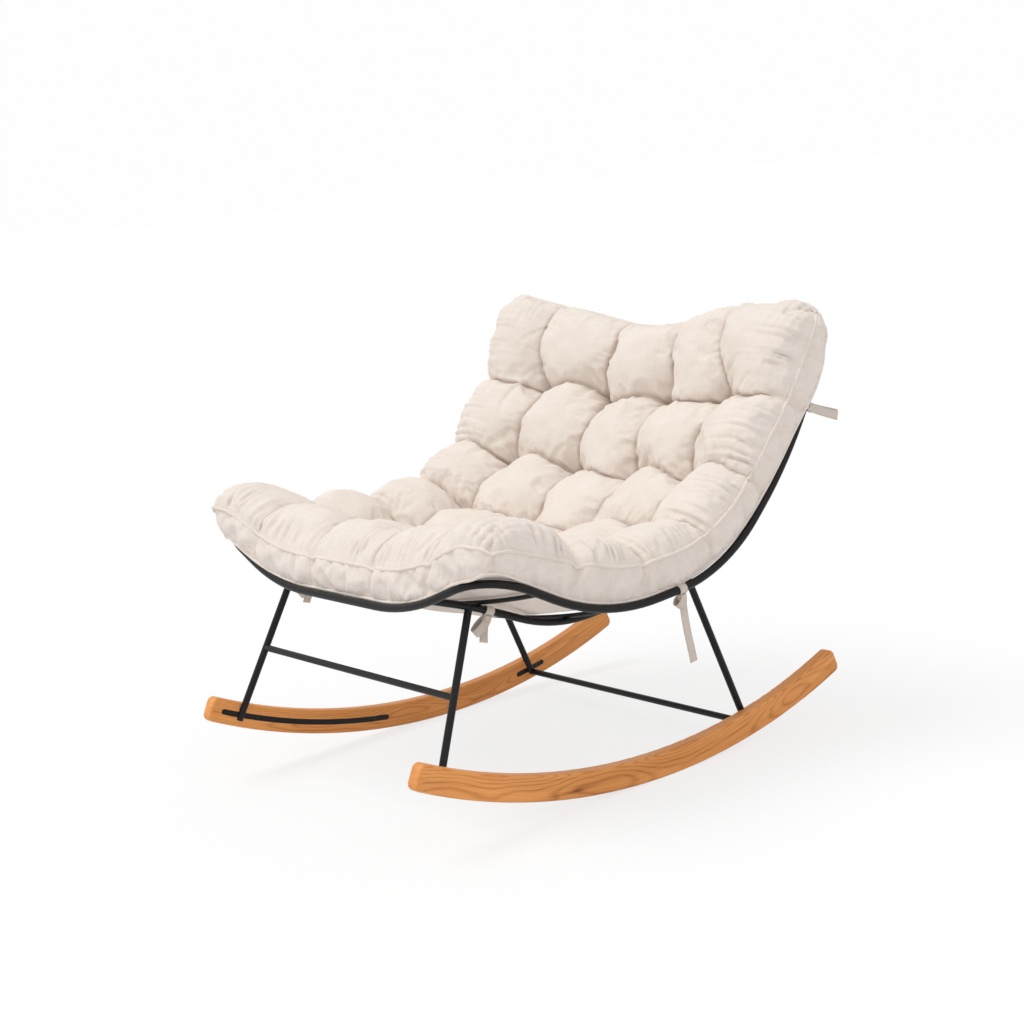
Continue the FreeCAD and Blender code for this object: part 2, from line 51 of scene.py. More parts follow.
# The chair is drawn level on its rockers and rests rolled back about the centre of the rockers' arc
rest = {"roll": np.radians(6.8), "arcRadius": 1.235, "drawnContact": -0.085}
restContact = frame["record"]["mounts"][0]["pos_m"][1]
rollMatrix = np.array(Matrix.Rotation(-rest["roll"], 3, "X"))


def toRest(drawn):
    centred = np.asarray(drawn, float) - (0, rest["drawnContact"], rest["arcRadius"])
    return centred @ rollMatrix.T + (0, restContact, rest["arcRadius"])


def fromRest(placed):
    centred = np.asarray(placed, float) - (0, restContact, rest["arcRadius"])
    return centred @ rollMatrix + (0, rest["drawnContact"], rest["arcRadius"])


def unit(vectors):
    return vectors / np.maximum(np.linalg.norm(vectors, axis=-1, keepdims=True), 1e-12)


def smoothStep(x):
    x = np.clip(x, 0, 1)
    return x * x * (3 - 2 * x)


# Quads of a grid stored row by row; flipped grids face the other way
def gridFaces(columns, rows, first=0, flip=False, wrap=False):
    across = np.arange(columns if wrap else columns - 1)
    along = np.arange(rows - 1)[:, None]
    right = (across + 1) % columns
    quads = np.stack([along * columns + across, along * columns + right,
                      (along + 1) * columns + right, (along + 1) * columns + across], -1)
    quads = quads.reshape(-1, 4) + first
    return quads[:, ::-1] if flip else quads


def meshObject(name, points, faces, uv=None, smooth=True):
    mesh = bpy.data.meshes.new(name)
    mesh.from_pydata(np.asarray(points).tolist(), [], [list(face) for face in np.asarray(faces).tolist()])
    if uv is not None:
        mesh.uv_layers.new(name="cloth").data.foreach_set("uv", np.asarray(uv, np.float32).ravel())
    mesh.polygons.foreach_set("use_smooth", np.full(len(mesh.polygons), smooth))
    mesh.update()
    piece = bpy.data.objects.new(name, mesh)
    scene.collection.objects.link(piece)
    return piece


# Length along a line up to each of its points
def pathReach(line):
    return np.r_[0, np.cumsum(np.linalg.norm(np.diff(line, axis=0), axis=1))]


# Straight runs between corners, joined by tangent arcs that start a share of the shorter run away
def roundedPath(corners, share, count, arcSteps=60):
    corners = np.array(corners, float)
    runs = np.linalg.norm(np.diff(corners, axis=0), axis=1)
    stretches = [corners[:1]]
    for k in range(1, len(corners) - 1):
        back = (corners[k - 1] - corners[k]) / runs[k - 1]
        ahead = (corners[k + 1] - corners[k]) / runs[k]
        setback = share * min(runs[k - 1], runs[k])
        halfTurn = (np.pi - np.arccos(back @ ahead)) / 2
        bend = setback / np.tan(halfTurn)
        centre = corners[k] + unit(back + ahead) * bend / np.cos(halfTurn)
        spokes = (back * setback + corners[k] - centre, ahead * setback + corners[k] - centre)
        angles = np.unwrap([np.arctan2(spoke[1], spoke[0]) for spoke in spokes])
        turn = np.linspace(angles[0], angles[1], arcSteps)
        stretches.append(centre + bend * np.stack([np.cos(turn), np.sin(turn)], -1))
    stretches.append(corners[-1:])
    line = np.vstack(stretches)
    reach = pathReach(line)
    even = np.linspace(0, reach[-1], count)
    return np.stack([np.interp(even, reach, line[:, 0]), np.interp(even, reach, line[:, 1])], -1), reach[-1]


# Smooth seeded noise on a grid: random values at coarse places, joined by smooth steps
def softNoise(shape, cells, seed):
    values = np.random.default_rng(seed).uniform(-1, 1, (cells[0] + 1, cells[1] + 1))
    down = np.linspace(0, cells[0], shape[0])
    over = np.linspace(0, cells[1], shape[1])
    row = np.minimum(down.astype(int), cells[0] - 1)
    column = np.minimum(over.astype(int), cells[1] - 1)
    downShare = smoothStep(down - row)[:, None]
    overShare = smoothStep(over - column)[None, :]
    across = values[:, column] * (1 - overShare) + values[:, column + 1] * overShare
    return across[row] * (1 - downShare) + across[row + 1] * downShare


# Tufted cushion: one panel of pillows over a bent guide line, a boxing band and an under panel
cushion = {
    "guide": ((-0.412, 0.408), (-0.3895, 0.408), (-0.161, 0.319),
              (0.112, 0.374), (0.272, 0.568), (0.3682, 0.8027)),
    "guideShare": 0.49, "guideCount": 1500, "across": 5, "along": 6,
    "frontWidth": 0.862, "waistWidth": 0.846, "topWidth": 0.856,
    "rail": 0.408, "lowest": -0.0507, "edgeFloor": 0.0101,
    "frontLip": 0.07, "lipEnd": 0.405, "lipFade": 0.04,
    "frontZone": 0.2, "topZone": 0.25, "topLean": np.radians(62),
    "band": 0.057, "frontPinch": 0.030, "topPinch": 0.024, "lobeDrop": 0.012, "farRise": 0.022,
    "tuft": 0.024, "crease": 0.088, "crown": 0.114, "roundness": 0.46, "arching": 0.4,
    "tuck": 0.020, "frontTuck": 0.005, "frontCorner": 0.055, "topCorner": 0.05,
    "drawIn": 0.007, "drawWidth": 0.016, "notch": 0.005, "notchWidth": 0.011, "notchReach": 0.022,
    "hangThin": 0.25, "spacing": 0.006, "bandRings": 10,
}
# Height of the front rim's upper side at distances from the middle, and the outline of the whole rim
rimTop = {"x": (0.125, 0.15, 0.175, 0.2, 0.225, 0.25, 0.275, 0.3, 0.325, 0.35, 0.375, 0.408),
          "z": (0.336, 0.3378, 0.3408, 0.3453, 0.3512, 0.3588, 0.368, 0.3784, 0.3888, 0.3973, 0.402, 0.402),
          "clear": 0.0012, "half": 0.415, "front": -0.009, "beyondTop": 0.017, "corner": 0.087}
# Corners of the cushion pulled out past the rim: reach along and across, and how far they hang over it;
# pairs are for the right and the left side
ears = {"spread": 0.13, "frontAlong": (0.018, 0.010), "frontAcross": (0.004, 0.0), "frontHang": (0.016, 0.0),
        "frontReach": 0.19, "frontTaper": (0.025, 0.0), "taperSpread": 0.07, "tipLift": 0.75,
        "topAlong": (0.022, 0.010), "topAcross": (0.004, -0.003), "topHang": (0.0158, 0.0158),
        "topHangReach": 0.25, "topHangStart": 0.07, "topHangCut": 0.6,
        "hangSpread": 0.12, "fullHang": 0.016, "looseShare": 1.3, "hangFrom": 0.001, "hangFade": 0.009}
# Top edge between its corners: a dip in the middle and a fuller lobe to each side of it
crest = {"dip": 0.018, "dipAt": -0.04, "dipHalf": 0.13, "lobe": (0.004, 0.016), "lobeAt": 0.22,
         "lobeHalf": 0.09, "reach": 0.14}
# The sewn pattern's unevenness: creases that bow and wander, a last row that fans out, a fuller far side
pattern = {"sideFade": 0.2, "endFade": 0.12, "bowAcross": 0.045, "bowAlong": 0.020,
           "wanderAcross": 0.022, "wanderAlong": 0.011, "fan": ((0.12, 0.55, 0.25), (0.05, -0.62, 0.2)),
           "fullReach": 0.45, "fullFrom": 0.12, "fullIn": 0.1, "fullTo": 0.64, "fullOut": 0.12,
           "swell": 0.005}
guideLine, guideLength = roundedPath(cushion["guide"], cushion["guideShare"], cushion["guideCount"])
guideShare = np.linspace(0, 1, len(guideLine))
guideSlope = np.arctan2(np.gradient(guideLine[:, 1]), np.gradient(guideLine[:, 0]))


def endShares(t):
    topShare = np.clip(1 - (1 - t) / cushion["topZone"], 0, 1)
    frontShare = np.clip(1 - t / cushion["frontZone"], 0, 1)
    return frontShare, topShare


# A point over the guide line: across by x, along by the share t, and out from it by a height
def overGuide(x, t, height):
    inside = np.clip(t, 0, 1)
    frontShare, topShare = endShares(inside)
    slope = np.interp(inside, guideShare, guideSlope)
    lean = slope * (1 - frontShare - topShare) + cushion["topLean"] * topShare
    beyond = (t - inside) * guideLength
    y = np.interp(inside, guideShare, guideLine[:, 0]) + beyond * np.cos(slope) - height * np.sin(lean)
    z = np.interp(inside, guideShare, guideLine[:, 1]) + beyond * np.sin(slope) + height * np.cos(lean)
    return toRest(np.stack([x, y, z], -1))


def halfWidth(t):
    waist = 1 - (2 * t - 1) ** 2
    ends = cushion["frontWidth"] * (1 - t) + cushion["topWidth"] * t
    return (ends + (cushion["waistWidth"] - ends) * waist) / 2


# Height of the rods' sagging line under the cushion; the front edge comes down onto the rim
def floorUnder(x, t):
    sag = cushion["lowest"] + (cushion["edgeFloor"] - cushion["lowest"]) * (x / cushion["rail"]) ** 2
    front = np.interp(np.abs(x), rimTop["x"], rimTop["z"]) + rimTop["clear"] - cushion["guide"][0][1]
    lip = smoothStep((cushion["lipEnd"] - np.abs(x)) / cushion["lipFade"])
    lip = smoothStep(1 - t / cushion["frontLip"]) * lip
    return sag + (np.minimum(front, sag) - sag) * lip


def sided(pair, u):
    return np.where(u < 0, pair[0], pair[1])


# Distance in from the straight side
def sideGap(x, share):
    return halfWidth(np.clip(share, 0, 1)) - np.abs(x)


# How much a point belongs to a front and to a top corner
def cornerWeights(x, share):
    fromSide = sideGap(x, share)
    front = np.exp(-(fromSide / ears["frontReach"]) ** 2 - (share * guideLength / ears["spread"]) ** 2)
    top = np.exp(-(fromSide ** 2 + ((1 - share) * guideLength) ** 2) / ears["spread"] ** 2)
    return front, top


# How far a point's lower edge may hang over the rim at those corners
def hangReach(x, share, u):
    fromSide = sideGap(x, share)
    fromTop = (1 - share) * guideLength
    front = np.exp(-(fromSide / ears["frontReach"]) ** 2 - (share * guideLength / ears["hangSpread"]) ** 2)
    top = np.exp(-(fromSide / ears["hangSpread"]) ** 2 - (fromTop / ears["topHangReach"]) ** 2)
    top = top * (1 - ears["topHangCut"] * np.exp(-(fromTop / ears["topHangStart"]) ** 2))
    return front * sided(ears["frontHang"], u) + top * sided(ears["topHang"], u)


# Square plan coordinates to the cushion's outline with rounded corners: lines at one distance from the
# edge keep that distance and go round the corner as arcs about one centre; then the corners are pulled out
def plan(u, t, inset=0.0, frontInset=None):
    half = cushion["waistWidth"] / 2
    frontInset = inset if frontInset is None else frontInset
    atFront = t < 0.5
    endInset = np.where(atFront, frontInset, inset)
    dx = (1 - np.abs(u)) * (half - inset) + inset
    dy = np.minimum(t, 1 - t) * (guideLength - 2 * endInset) + endInset
    corner = np.where(atFront, cushion["frontCorner"], cushion["topCorner"])
    nearest = np.minimum(dx, dy)
    past = np.maximum(dx, dy) - nearest
    radius = corner - nearest
    turned = (radius > 1e-6) & (past < radius)
    angle = np.pi / 4 * (1 - past / np.where(turned, radius, 1))
    near = np.where(turned, corner - radius * np.cos(angle), nearest)
    far = np.where(turned, corner - radius * np.sin(angle), nearest + past)
    newX = np.where(dx <= dy, near, far)
    newY = np.where(dx <= dy, far, near)
    share = np.where(atFront, newY, guideLength - newY) / guideLength
    x = np.sign(u) * (halfWidth(np.clip(share, 0, 1)) - newX)
    front, top = cornerWeights(x, share)
    lobe = sided(crest["lobe"], u) * np.exp(-((np.abs(x) - crest["lobeAt"]) / crest["lobeHalf"]) ** 2)
    dip = crest["dip"] * np.exp(-((x - crest["dipAt"]) / crest["dipHalf"]) ** 2)
    rise = (lobe - dip) * np.exp(-((1 - share) * guideLength / crest["reach"]) ** 2)
    along = top * sided(ears["topAlong"], u) - front * sided(ears["frontAlong"], u) + rise
    outward = front * sided(ears["frontAcross"], u) + top * sided(ears["topAcross"], u)
    return x + np.sign(u) * outward, share + along / guideLength


# How much a point belongs to the very tip of a front corner
def frontTip(x, share):
    return np.exp(-(sideGap(x, share) ** 2 + (share * guideLength) ** 2) / ears["taperSpread"] ** 2)


# How far the lower edge is drawn in under the seam, at sides and front: less where it hangs over the rim,
# more under the front's far tip
def footTuck(x, share, u):
    loose = 1 - ears["looseShare"] * np.clip(hangReach(x, share, u) / ears["fullHang"], 0, 1)
    taper = frontTip(x, share) * sided(ears["frontTaper"], u)
    return cushion["tuck"] * loose + taper, cushion["frontTuck"] * loose + taper


# Outside the rim the corners' lower edge hangs down past the tube
def hangOver(x, share, u):
    first, last = rimTop["front"], guideLength + rimTop["beyondTop"]
    offX = np.abs(x) - (rimTop["half"] - rimTop["corner"])
    offS = np.abs(share * guideLength - (first + last) / 2) - ((last - first) / 2 - rimTop["corner"])
    outside = np.hypot(np.maximum(offX, 0), np.maximum(offS, 0))
    gap = outside + np.minimum(np.maximum(offX, offS), 0) - rimTop["corner"]
    drop = hangReach(x, share, u) * (1 - ears["tipLift"] * frontTip(x, share))
    return -drop * smoothStep((gap - ears["hangFrom"]) / ears["hangFade"])


# Rise of a cell from 0 at its edges to 1 at its crown, steep at the edges or more of an arch
def cellRise(position, count, arching=0.0):
    inside = position * count
    rise = np.abs(np.sin(np.pi * inside)) ** (cushion["roundness"] + arching)
    return rise, (inside < 0.5) | (inside > count - 0.5)


# Thickness of the pad: pits at the tufts, creases between them, pillows in between, the seam round the edge
def padThickness(u, t, swell):
    riseAlong, endAlong = cellRise(t, cushion["along"])
    archAlong = cellRise(t, cushion["along"], cushion["arching"])[0]
    riseAcross, endAcross = cellRise((u + 1) / 2, cushion["across"], cushion["arching"] * (1 - riseAlong))
    crown = cushion["crown"] + swell
    crownEnd = np.where(endAlong, cushion["band"], cushion["crease"])
    crownLine = crownEnd + (crown - crownEnd) * riseAlong
    creaseEnd = np.where(endAlong, cushion["band"], cushion["tuft"])
    creaseLine = creaseEnd + (cushion["crease"] - creaseEnd) * np.where(endAlong, riseAlong, archAlong)
    frontShare, topShare = endShares(t)
    seam = cushion["band"] - cushion["frontPinch"] * frontShare - cushion["topPinch"] * topShare
    base = np.where(endAcross, seam, creaseLine)
    return base + (crownLine - base) * riseAcross


# Signed distance to the nearest crease, that crease's number, and whether it lies between two cells
def nearestCrease(position, count, size):
    at = position * count
    number = np.round(at)
    return (at - number) * size / count, number, (number > 0) & (number < count)


def creaseAcross(u):
    return nearestCrease((u + 1) / 2, cushion["across"], cushion["waistWidth"])


def creaseAlong(t):
    return nearestCrease(t, cushion["along"], guideLength)


# 1 on a crease between two cells and 0 away from it
def onCrease(crease, width):
    offset, inside = crease[::2]
    return inside * np.exp(-(offset / width) ** 2)


# Where a crease meets the seam, the seam is pulled down: 1 at such a place, 0 away from it
def seamNotch(u, t):
    fromSide = (1 - np.abs(u)) * cushion["waistWidth"] / 2
    fromEnd = np.minimum(t, 1 - t) * guideLength
    width, reach = cushion["notchWidth"], cushion["notchReach"]
    atEnd = onCrease(creaseAcross(u), width) * np.exp(-(fromEnd / reach) ** 2)
    atSide = onCrease(creaseAlong(t), width) * np.exp(-(fromSide / reach) ** 2)
    return np.maximum(atEnd, atSide)


columns = int(round(cushion["waistWidth"] / cushion["spacing"]))
rows = int(round(guideLength / cushion["spacing"]))
u, t = np.meshgrid(np.linspace(-1, 1, columns), np.linspace(0, 1, rows))
fadeAcross = (1 - np.abs(u)) / pattern["sideFade"]
edgeFade = smoothStep(np.minimum(fadeAcross, np.minimum(t, 1 - t) / pattern["endFade"]))
bowU = pattern["bowAcross"] * np.sin(np.pi * t * cushion["along"]) * softNoise(u.shape, (6, 5), 11)
bowT = pattern["bowAlong"] * np.sin(np.pi * (u + 1) / 2 * cushion["across"]) * softNoise(u.shape, (6, 5), 12)
fan = sum(size * np.exp(-((u - middle) / half) ** 2) for size, middle, half in pattern["fan"])
lastRow = smoothStep(t * cushion["along"] - cushion["along"] + 1)
fanned = u + fan * lastRow * smoothStep(fadeAcross)
wanderU = fanned + edgeFade * (pattern["wanderAcross"] * softNoise(u.shape, (11, 9), 3) + bowU)
wanderT = t + edgeFade * (pattern["wanderAlong"] * softNoise(u.shape, (11, 9), 4) + bowT)
drawSide = cushion["drawIn"] * onCrease(creaseAlong(t), cushion["drawWidth"])
drawFront = cushion["drawIn"] * onCrease(creaseAcross(u), cushion["drawWidth"])
planX, planT = plan(u, t, drawSide, drawFront)
farSide = np.exp(-((u + 1) / pattern["fullReach"]) ** 2)
farSide = farSide * smoothStep((t - pattern["fullFrom"]) / pattern["fullIn"])
farSide = farSide * smoothStep((pattern["fullTo"] - t) / pattern["fullOut"])
swell = pattern["swell"] * edgeFade * softNoise(u.shape, (7, 6), 5) + cushion["farRise"] * farSide
swell = swell - cushion["lobeDrop"] * cornerWeights(planX, planT)[0]
notch = seamNotch(fanned, t)
thickness = padThickness(wanderU, wanderT, swell) - cushion["notch"] * notch
thickness = thickness - cushion["hangThin"] * hangReach(planX, planT, u)
topPoints = overGuide(planX, planT, floorUnder(planX, planT) + thickness)


# Ring round the edge of a grid: front edge, right side, top edge, left side; and the ring one step inside it
def edgeRings(columns, rows):
    grid = np.arange(rows * columns).reshape(rows, columns)
    edge = np.r_[grid[0, :], grid[1:, -1], grid[-1, -2::-1], grid[-2:0:-1, 0]]
    inner = np.r_[grid[1, :], grid[1:, -2], grid[-2, -2::-1], grid[-2:0:-1, 1]]
    return edge, inner


# Boxing band: from the seam down to the under panel, swelling out between them and gathered into small folds
band = {"bulge": 0.007, "folds": (2, 130), "foldDepth": 0.0048, "notchCalm": 0.8, "cornerCalm": 0.85,
        "calmSide": 0.16, "calmFront": 0.06}
ring = edgeRings(columns, rows)[0]
ringU, ringT = u.ravel()[ring], t.ravel()[ring]
seamX, seamT = planX.ravel()[ring], planT.ravel()[ring]
seamHeight = floorUnder(seamX, seamT) + thickness.ravel()[ring]
down = np.linspace(0, 1, cushion["bandRings"] + 1)[1:, None]
sideTuck, frontTuck = footTuck(seamX, seamT, ringU)
fold = softNoise((len(down), len(ring)), band["folds"], 6)
frontCorner = np.exp(-((1 - np.abs(ringU)) / band["calmSide"]) ** 2 - (ringT / band["calmFront"]) ** 2)
calm = (1 - band["notchCalm"] * notch.ravel()[ring]) * (1 - band["cornerCalm"] * frontCorner)
swellOut = (band["bulge"] + band["foldDepth"] * fold) * np.sin(np.pi * down) * calm
inset = sideTuck * down - swellOut + drawSide.ravel()[ring] * (1 - down)
frontInset = frontTuck * down - swellOut + drawFront.ravel()[ring] * (1 - down)
bandX, bandT = plan(ringU, ringT, inset, frontInset)
footHeight = floorUnder(bandX[-1], bandT[-1]) + hangOver(bandX[-1], bandT[-1], ringU)
bandPoints = overGuide(bandX, bandT, seamHeight + (footHeight - seamHeight) * down)

# Under panel: lies on the rods, with a dimple at each tuft; its edge is the band's last ring
under = {"pit": 0.024, "pitSpread": 0.024, "pitPower": 1.2, "puff": 0.0055, "puffHalf": 0.37,
         "puffFade": 0.05, "rods": 6, "rodHalf": 0.008, "bulgeFade": 0.06}


# Places along the guide and how far the under panel bulges there: 0 on a rod, 1 well away from it
def bulgePlaces(rods):
    steps = np.linspace(0, guideLength, 800)
    off = np.min(np.abs(steps[:, None] - np.array(rods)[None]), axis=1)
    inside = (steps > min(rods)) & (steps < max(rods))
    return steps, smoothStep((off - under["rodHalf"]) / under["bulgeFade"]) * inside


underX, underT = plan(u, t, *footTuck(planX, planT, u))
pitX, pitInAcross = creaseAcross(u)[::2]
pitS, pitInAlong = creaseAlong(t)[::2]
underPit = np.exp(-(np.hypot(pitX, pitS) / under["pitSpread"]) ** under["pitPower"])
underPit = (pitInAcross & pitInAlong) * underPit
rodAt = []
for number in range(1, under["rods"] + 1):
    least, most = np.array(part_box(f"cross_rod_{number}"))
    drawnRod = fromRest((least + most) / 2)[1:]
    rodAt.append(np.argmin(np.linalg.norm(guideLine - drawnRod, axis=1)) / len(guideLine) * guideLength)
between = np.interp(underT * guideLength, *bulgePlaces(rodAt))
puff = under["puff"] * between * smoothStep((under["puffHalf"] - np.abs(underX)) / under["puffFade"])
underFloor = floorUnder(underX, underT) + hangOver(underX, underT, u)
underHeight = underFloor + under["pit"] * underPit - puff * (1 - underPit)
underPoints = overGuide(underX, underT, underHeight)
underPoints.reshape(-1, 3)[ring] = bandPoints[-1]


def ladderFaces(ladder):
    after = np.roll(ladder, -1, axis=1)
    return np.stack([ladder[:-1], ladder[1:], after[1:], after[:-1]], -1).reshape(-1, 4)


# Cloth simulation: the panel and band fill out against pinned tufts, creases and seams
filling = {"quality": 6, "stretch": 18, "shear": 6, "bending": 0.5, "fullness": -0.05, "pressure": 5.0,
           "frames": 20, "cap": 0.026, "creaseHold": 0.8, "creaseNear": 0.55, "tuftNear": 1.3}


def fillOut(points, faces, pins):
    trial = meshObject("cushion_trial", points, faces)
    group = trial.vertex_groups.new(name="held")
    for weight in np.unique(pins[pins > 0]):
        group.add(np.flatnonzero(pins == weight).tolist(), float(weight), "REPLACE")
    cloth = trial.modifiers.new("fill", "CLOTH")
    cloth.settings.vertex_group_mass = "held"
    cloth.settings.quality = filling["quality"]
    cloth.settings.tension_stiffness = filling["stretch"]
    cloth.settings.compression_stiffness = filling["stretch"]
    cloth.settings.shear_stiffness = filling["shear"]
    cloth.settings.bending_stiffness = filling["bending"]
    cloth.settings.shrink_min = filling["fullness"]
    cloth.settings.use_pressure = True
    cloth.settings.uniform_pressure_force = filling["pressure"]
    cloth.settings.effector_weights.gravity = 0
    cloth.collision_settings.use_collision = False
    cloth.point_cache.frame_start = 1
    cloth.point_cache.frame_end = filling["frames"]
    for step in range(1, filling["frames"] + 1):
        scene.frame_set(step)
    filled = trial.evaluated_get(bpy.context.evaluated_depsgraph_get())
    moved = np.empty(len(points) * 3, np.float32)
    filled.data.vertices.foreach_get("co", moved)
    bpy.data.objects.remove(trial)
    scene.frame_set(1)
    shift = moved.reshape(-1, 3) - points
    reach = np.linalg.norm(shift, axis=1, keepdims=True)
    return points + shift * np.minimum(1, filling["cap"] / np.maximum(reach, 1e-9))


topCount = rows * columns
simPoints = np.vstack([topPoints.reshape(-1, 3), bandPoints.reshape(-1, 3)])
simLadder = np.vstack([ring, topCount + np.arange(bandPoints.shape[0] * len(ring)).reshape(-1, len(ring))])
simFaces = np.vstack([gridFaces(columns, rows), ladderFaces(simLadder)])
pinAcross, pinAlong = np.abs(creaseAcross(wanderU)[0]), np.abs(creaseAlong(wanderT)[0])
topPins = np.zeros(u.shape)
topPins[np.minimum(pinAlong, pinAcross) < filling["creaseNear"] * cushion["spacing"]] = filling["creaseHold"]
topPins[np.hypot(pinAlong, pinAcross) < filling["tuftNear"] * cushion["spacing"]] = 1.0
pins = np.zeros(len(simPoints))
pins[:topCount] = topPins.ravel()
pins[ring] = 1.0
pins[simLadder[-1]] = 1.0
simPoints = fillOut(simPoints, simFaces, pins)
print("cushion filled out")


# Twice as many points along the first axis: a new one between each two, on the cubic through their neighbours
def refined(values, closed=False):
    if closed:
        ahead = np.roll(values, -1, axis=0)
        middle = (9 * (values + ahead) - np.roll(values, 1, axis=0) - np.roll(values, -2, axis=0)) / 16
    else:
        longer = np.concatenate([2 * values[:1] - values[1:2], values, 2 * values[-1:] - values[-2:-1]])
        middle = (9 * (longer[1:-2] + longer[2:-1]) - longer[:-3] - longer[3:]) / 16
    finer = np.empty((len(values) + len(middle),) + values.shape[1:])
    finer[::2] = values
    finer[1::2] = middle
    return finer


def refinedGrid(values):
    return np.swapaxes(refined(np.swapaxes(refined(values), 0, 1)), 0, 1)


def gridNormals(points):
    return unit(np.cross(np.gradient(points, axis=1), np.gradient(points, axis=0)))


topPoints = refinedGrid(simPoints[:topCount].reshape(rows, columns, 3))
underPoints = refinedGrid(underPoints)
bandPoints = simPoints[topCount:].reshape(-1, len(ring), 3)[:-1]
bandPoints = np.swapaxes(refined(np.swapaxes(bandPoints, 0, 1), closed=True), 0, 1)
planX, planT, u, t = (refinedGrid(values) for values in (planX, planT, u, t))
wanderU, wanderT = refinedGrid(wanderU), refinedGrid(wanderT)
rows, columns = u.shape
topCount = rows * columns

# Wrinkles: gathers square to the seams, folds that run out from the tufts, and soft unevenness
wrinkle = {"frontGather": 0.0032, "sideGather": 0.0038, "topGather": 0.0016, "pitch": 0.017,
           "sidePitch": 1.15, "reach": 0.068, "fall": 1.5, "some": (0.62, 0.8), "waver": 0.7,
           "drift": 0.25, "sharp": 0.8,
           "tuftFold": 0.0036, "foldAt": 0.026, "foldReach": 0.030, "foldNarrow": 1.6, "uneven": 0.0010,
           "seamFade": 0.006}


# Rounded ridges with sharp valleys between them
def ridges(phase):
    return 2 * np.abs(np.sin(np.pi * phase)) ** wrinkle["sharp"] - 1.2


# 1 at a seam, less away from it
def gather(distance):
    return np.exp(-(distance / wrinkle["reach"]) ** wrinkle["fall"])


fromSide = (1 - np.abs(u)) * cushion["waistWidth"] / 2
fromFront, fromTop = t * guideLength, (1 - t) * guideLength
fromSeam = np.minimum(fromSide, np.minimum(fromFront, fromTop))
someBase, someRange = wrinkle["some"]
alongFront = softNoise((2, columns), (1, 34), 7)[:1]
alongSide = softNoise((rows, 2), (50, 1), 8)[:, :1]
someFront = smoothStep(someBase + someRange * softNoise((2, columns), (1, 24), 9)[:1])
someSide = smoothStep(someBase + someRange * softNoise((rows, 2), (34, 1), 13)[:, :1])
wavering = wrinkle["drift"] * softNoise(u.shape, (24, 16), 14)
sidePlace = planT * guideLength / wrinkle["pitch"] / wrinkle["sidePitch"]
ridgeAcross = ridges(planX / wrinkle["pitch"] + wrinkle["waver"] * alongFront + wavering)
ridgeAlong = ridges(sidePlace + wrinkle["waver"] * alongSide + wavering)
endGather = wrinkle["frontGather"] * gather(fromFront) + wrinkle["topGather"] * gather(fromTop)
lift = ridgeAcross * someFront * endGather
lift += ridgeAlong * someSide * wrinkle["sideGather"] * gather(fromSide)
overAcross, overAlong = creaseAcross(wanderU), creaseAlong(wanderT)
offX, tuftX, insideAcross = overAcross
offS, tuftS, insideAlong = overAlong
isTuft = insideAcross & insideAlong
away, around = np.hypot(offX, offS), np.arctan2(offS, offX)
own = 7 * tuftX + 3 * tuftS
rays = np.cos(5 * around + own) + 0.8 * np.cos(8 * around + 2.3 * own) + 0.6 * np.cos(11 * around - own)
foldRing = np.exp(-((away - wrinkle["foldAt"]) / wrinkle["foldReach"] * wrinkle["foldNarrow"]) ** 2)
lift += isTuft * wrinkle["tuftFold"] * rays / 2 * foldRing
lift += wrinkle["uneven"] * softNoise(u.shape, (48, 33), 10)
lift *= smoothStep(fromSeam / wrinkle["seamFade"])
topPoints = topPoints + gridNormals(topPoints) * lift[..., None]

# Painted shade: how deep in a crease or pit a point lies, for a darker colour painted there as shade
paintedShading = {"crease": 0.0045, "creaseTone": 0.75, "edgeFade": 0.06, "tuft": 0.013, "underTone": 0.9}
paintedShade = np.maximum(onCrease(overAcross, paintedShading["crease"]), onCrease(overAlong, paintedShading["crease"]))
paintedShade *= smoothStep(fromSeam / paintedShading["edgeFade"])
paintedShade = np.maximum(paintedShading["creaseTone"] * paintedShade, isTuft * np.exp(-(away / paintedShading["tuft"]) ** 2))

ring, innerRing = edgeRings(columns, rows)
bandCount = bandPoints.shape[0] * len(ring)
bandRings = topCount + np.arange(bandCount).reshape(-1, len(ring))
ringLadder = np.vstack([ring, bandRings, topCount + bandCount + ring])
cushionPoints = np.vstack([topPoints.reshape(-1, 3), bandPoints.reshape(-1, 3), underPoints.reshape(-1, 3)])
cushionFaces = np.vstack([gridFaces(columns, rows), ladderFaces(ringLadder),
                          gridFaces(columns, rows, topCount + bandCount, flip=True)])
ringReach = pathReach(cushionPoints[ring])
panelUv = np.stack([planX, planT * guideLength], -1).reshape(-1, 2)
ladderReach = np.r_[ringReach, ringReach[-1] + cushion["spacing"] / 2]
ladderU = np.broadcast_to(ladderReach, (len(ringLadder), len(ring) + 1))
ladderV = np.broadcast_to(-cushion["band"] * np.linspace(0, 1, len(ringLadder))[:, None], ladderU.shape)
ladderUv = np.stack([ladderU, ladderV], -1)
quadCorners = [ladderUv[:-1, :-1], ladderUv[1:, :-1], ladderUv[1:, 1:], ladderUv[:-1, 1:]]
bandUv = np.stack(quadCorners, 2).reshape(-1, 2)
cornerUv = np.vstack([panelUv[gridFaces(columns, rows).ravel()], bandUv,
                      panelUv[gridFaces(columns, rows, flip=True).ravel()]])
pad = meshObject("seat_pad", cushionPoints, cushionFaces, cornerUv)
# Painted shade per point: creases and tuft pits on the top panel, tuft dimples on the under panel, none on
# the band
depth = np.zeros(len(cushionPoints), np.float32)
depth[:topCount] = paintedShade.ravel()
depth[topCount + bandCount:] = paintedShading["underTone"] * refinedGrid(underPit).ravel() ** 3
pad.data.attributes.new("paintedShade", "FLOAT", "POINT").data.foreach_set("value", depth)
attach(pad, "root")
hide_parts("seat_cushion")
print("cushion built from", len(cushionPoints), "points")


# Round cord laid along a closed ridge: a circle carried along the ring, pushed out from the ridge
welt = {"radius": 0.0031, "lift": 0.0014, "sides": 8, "evenings": 40}


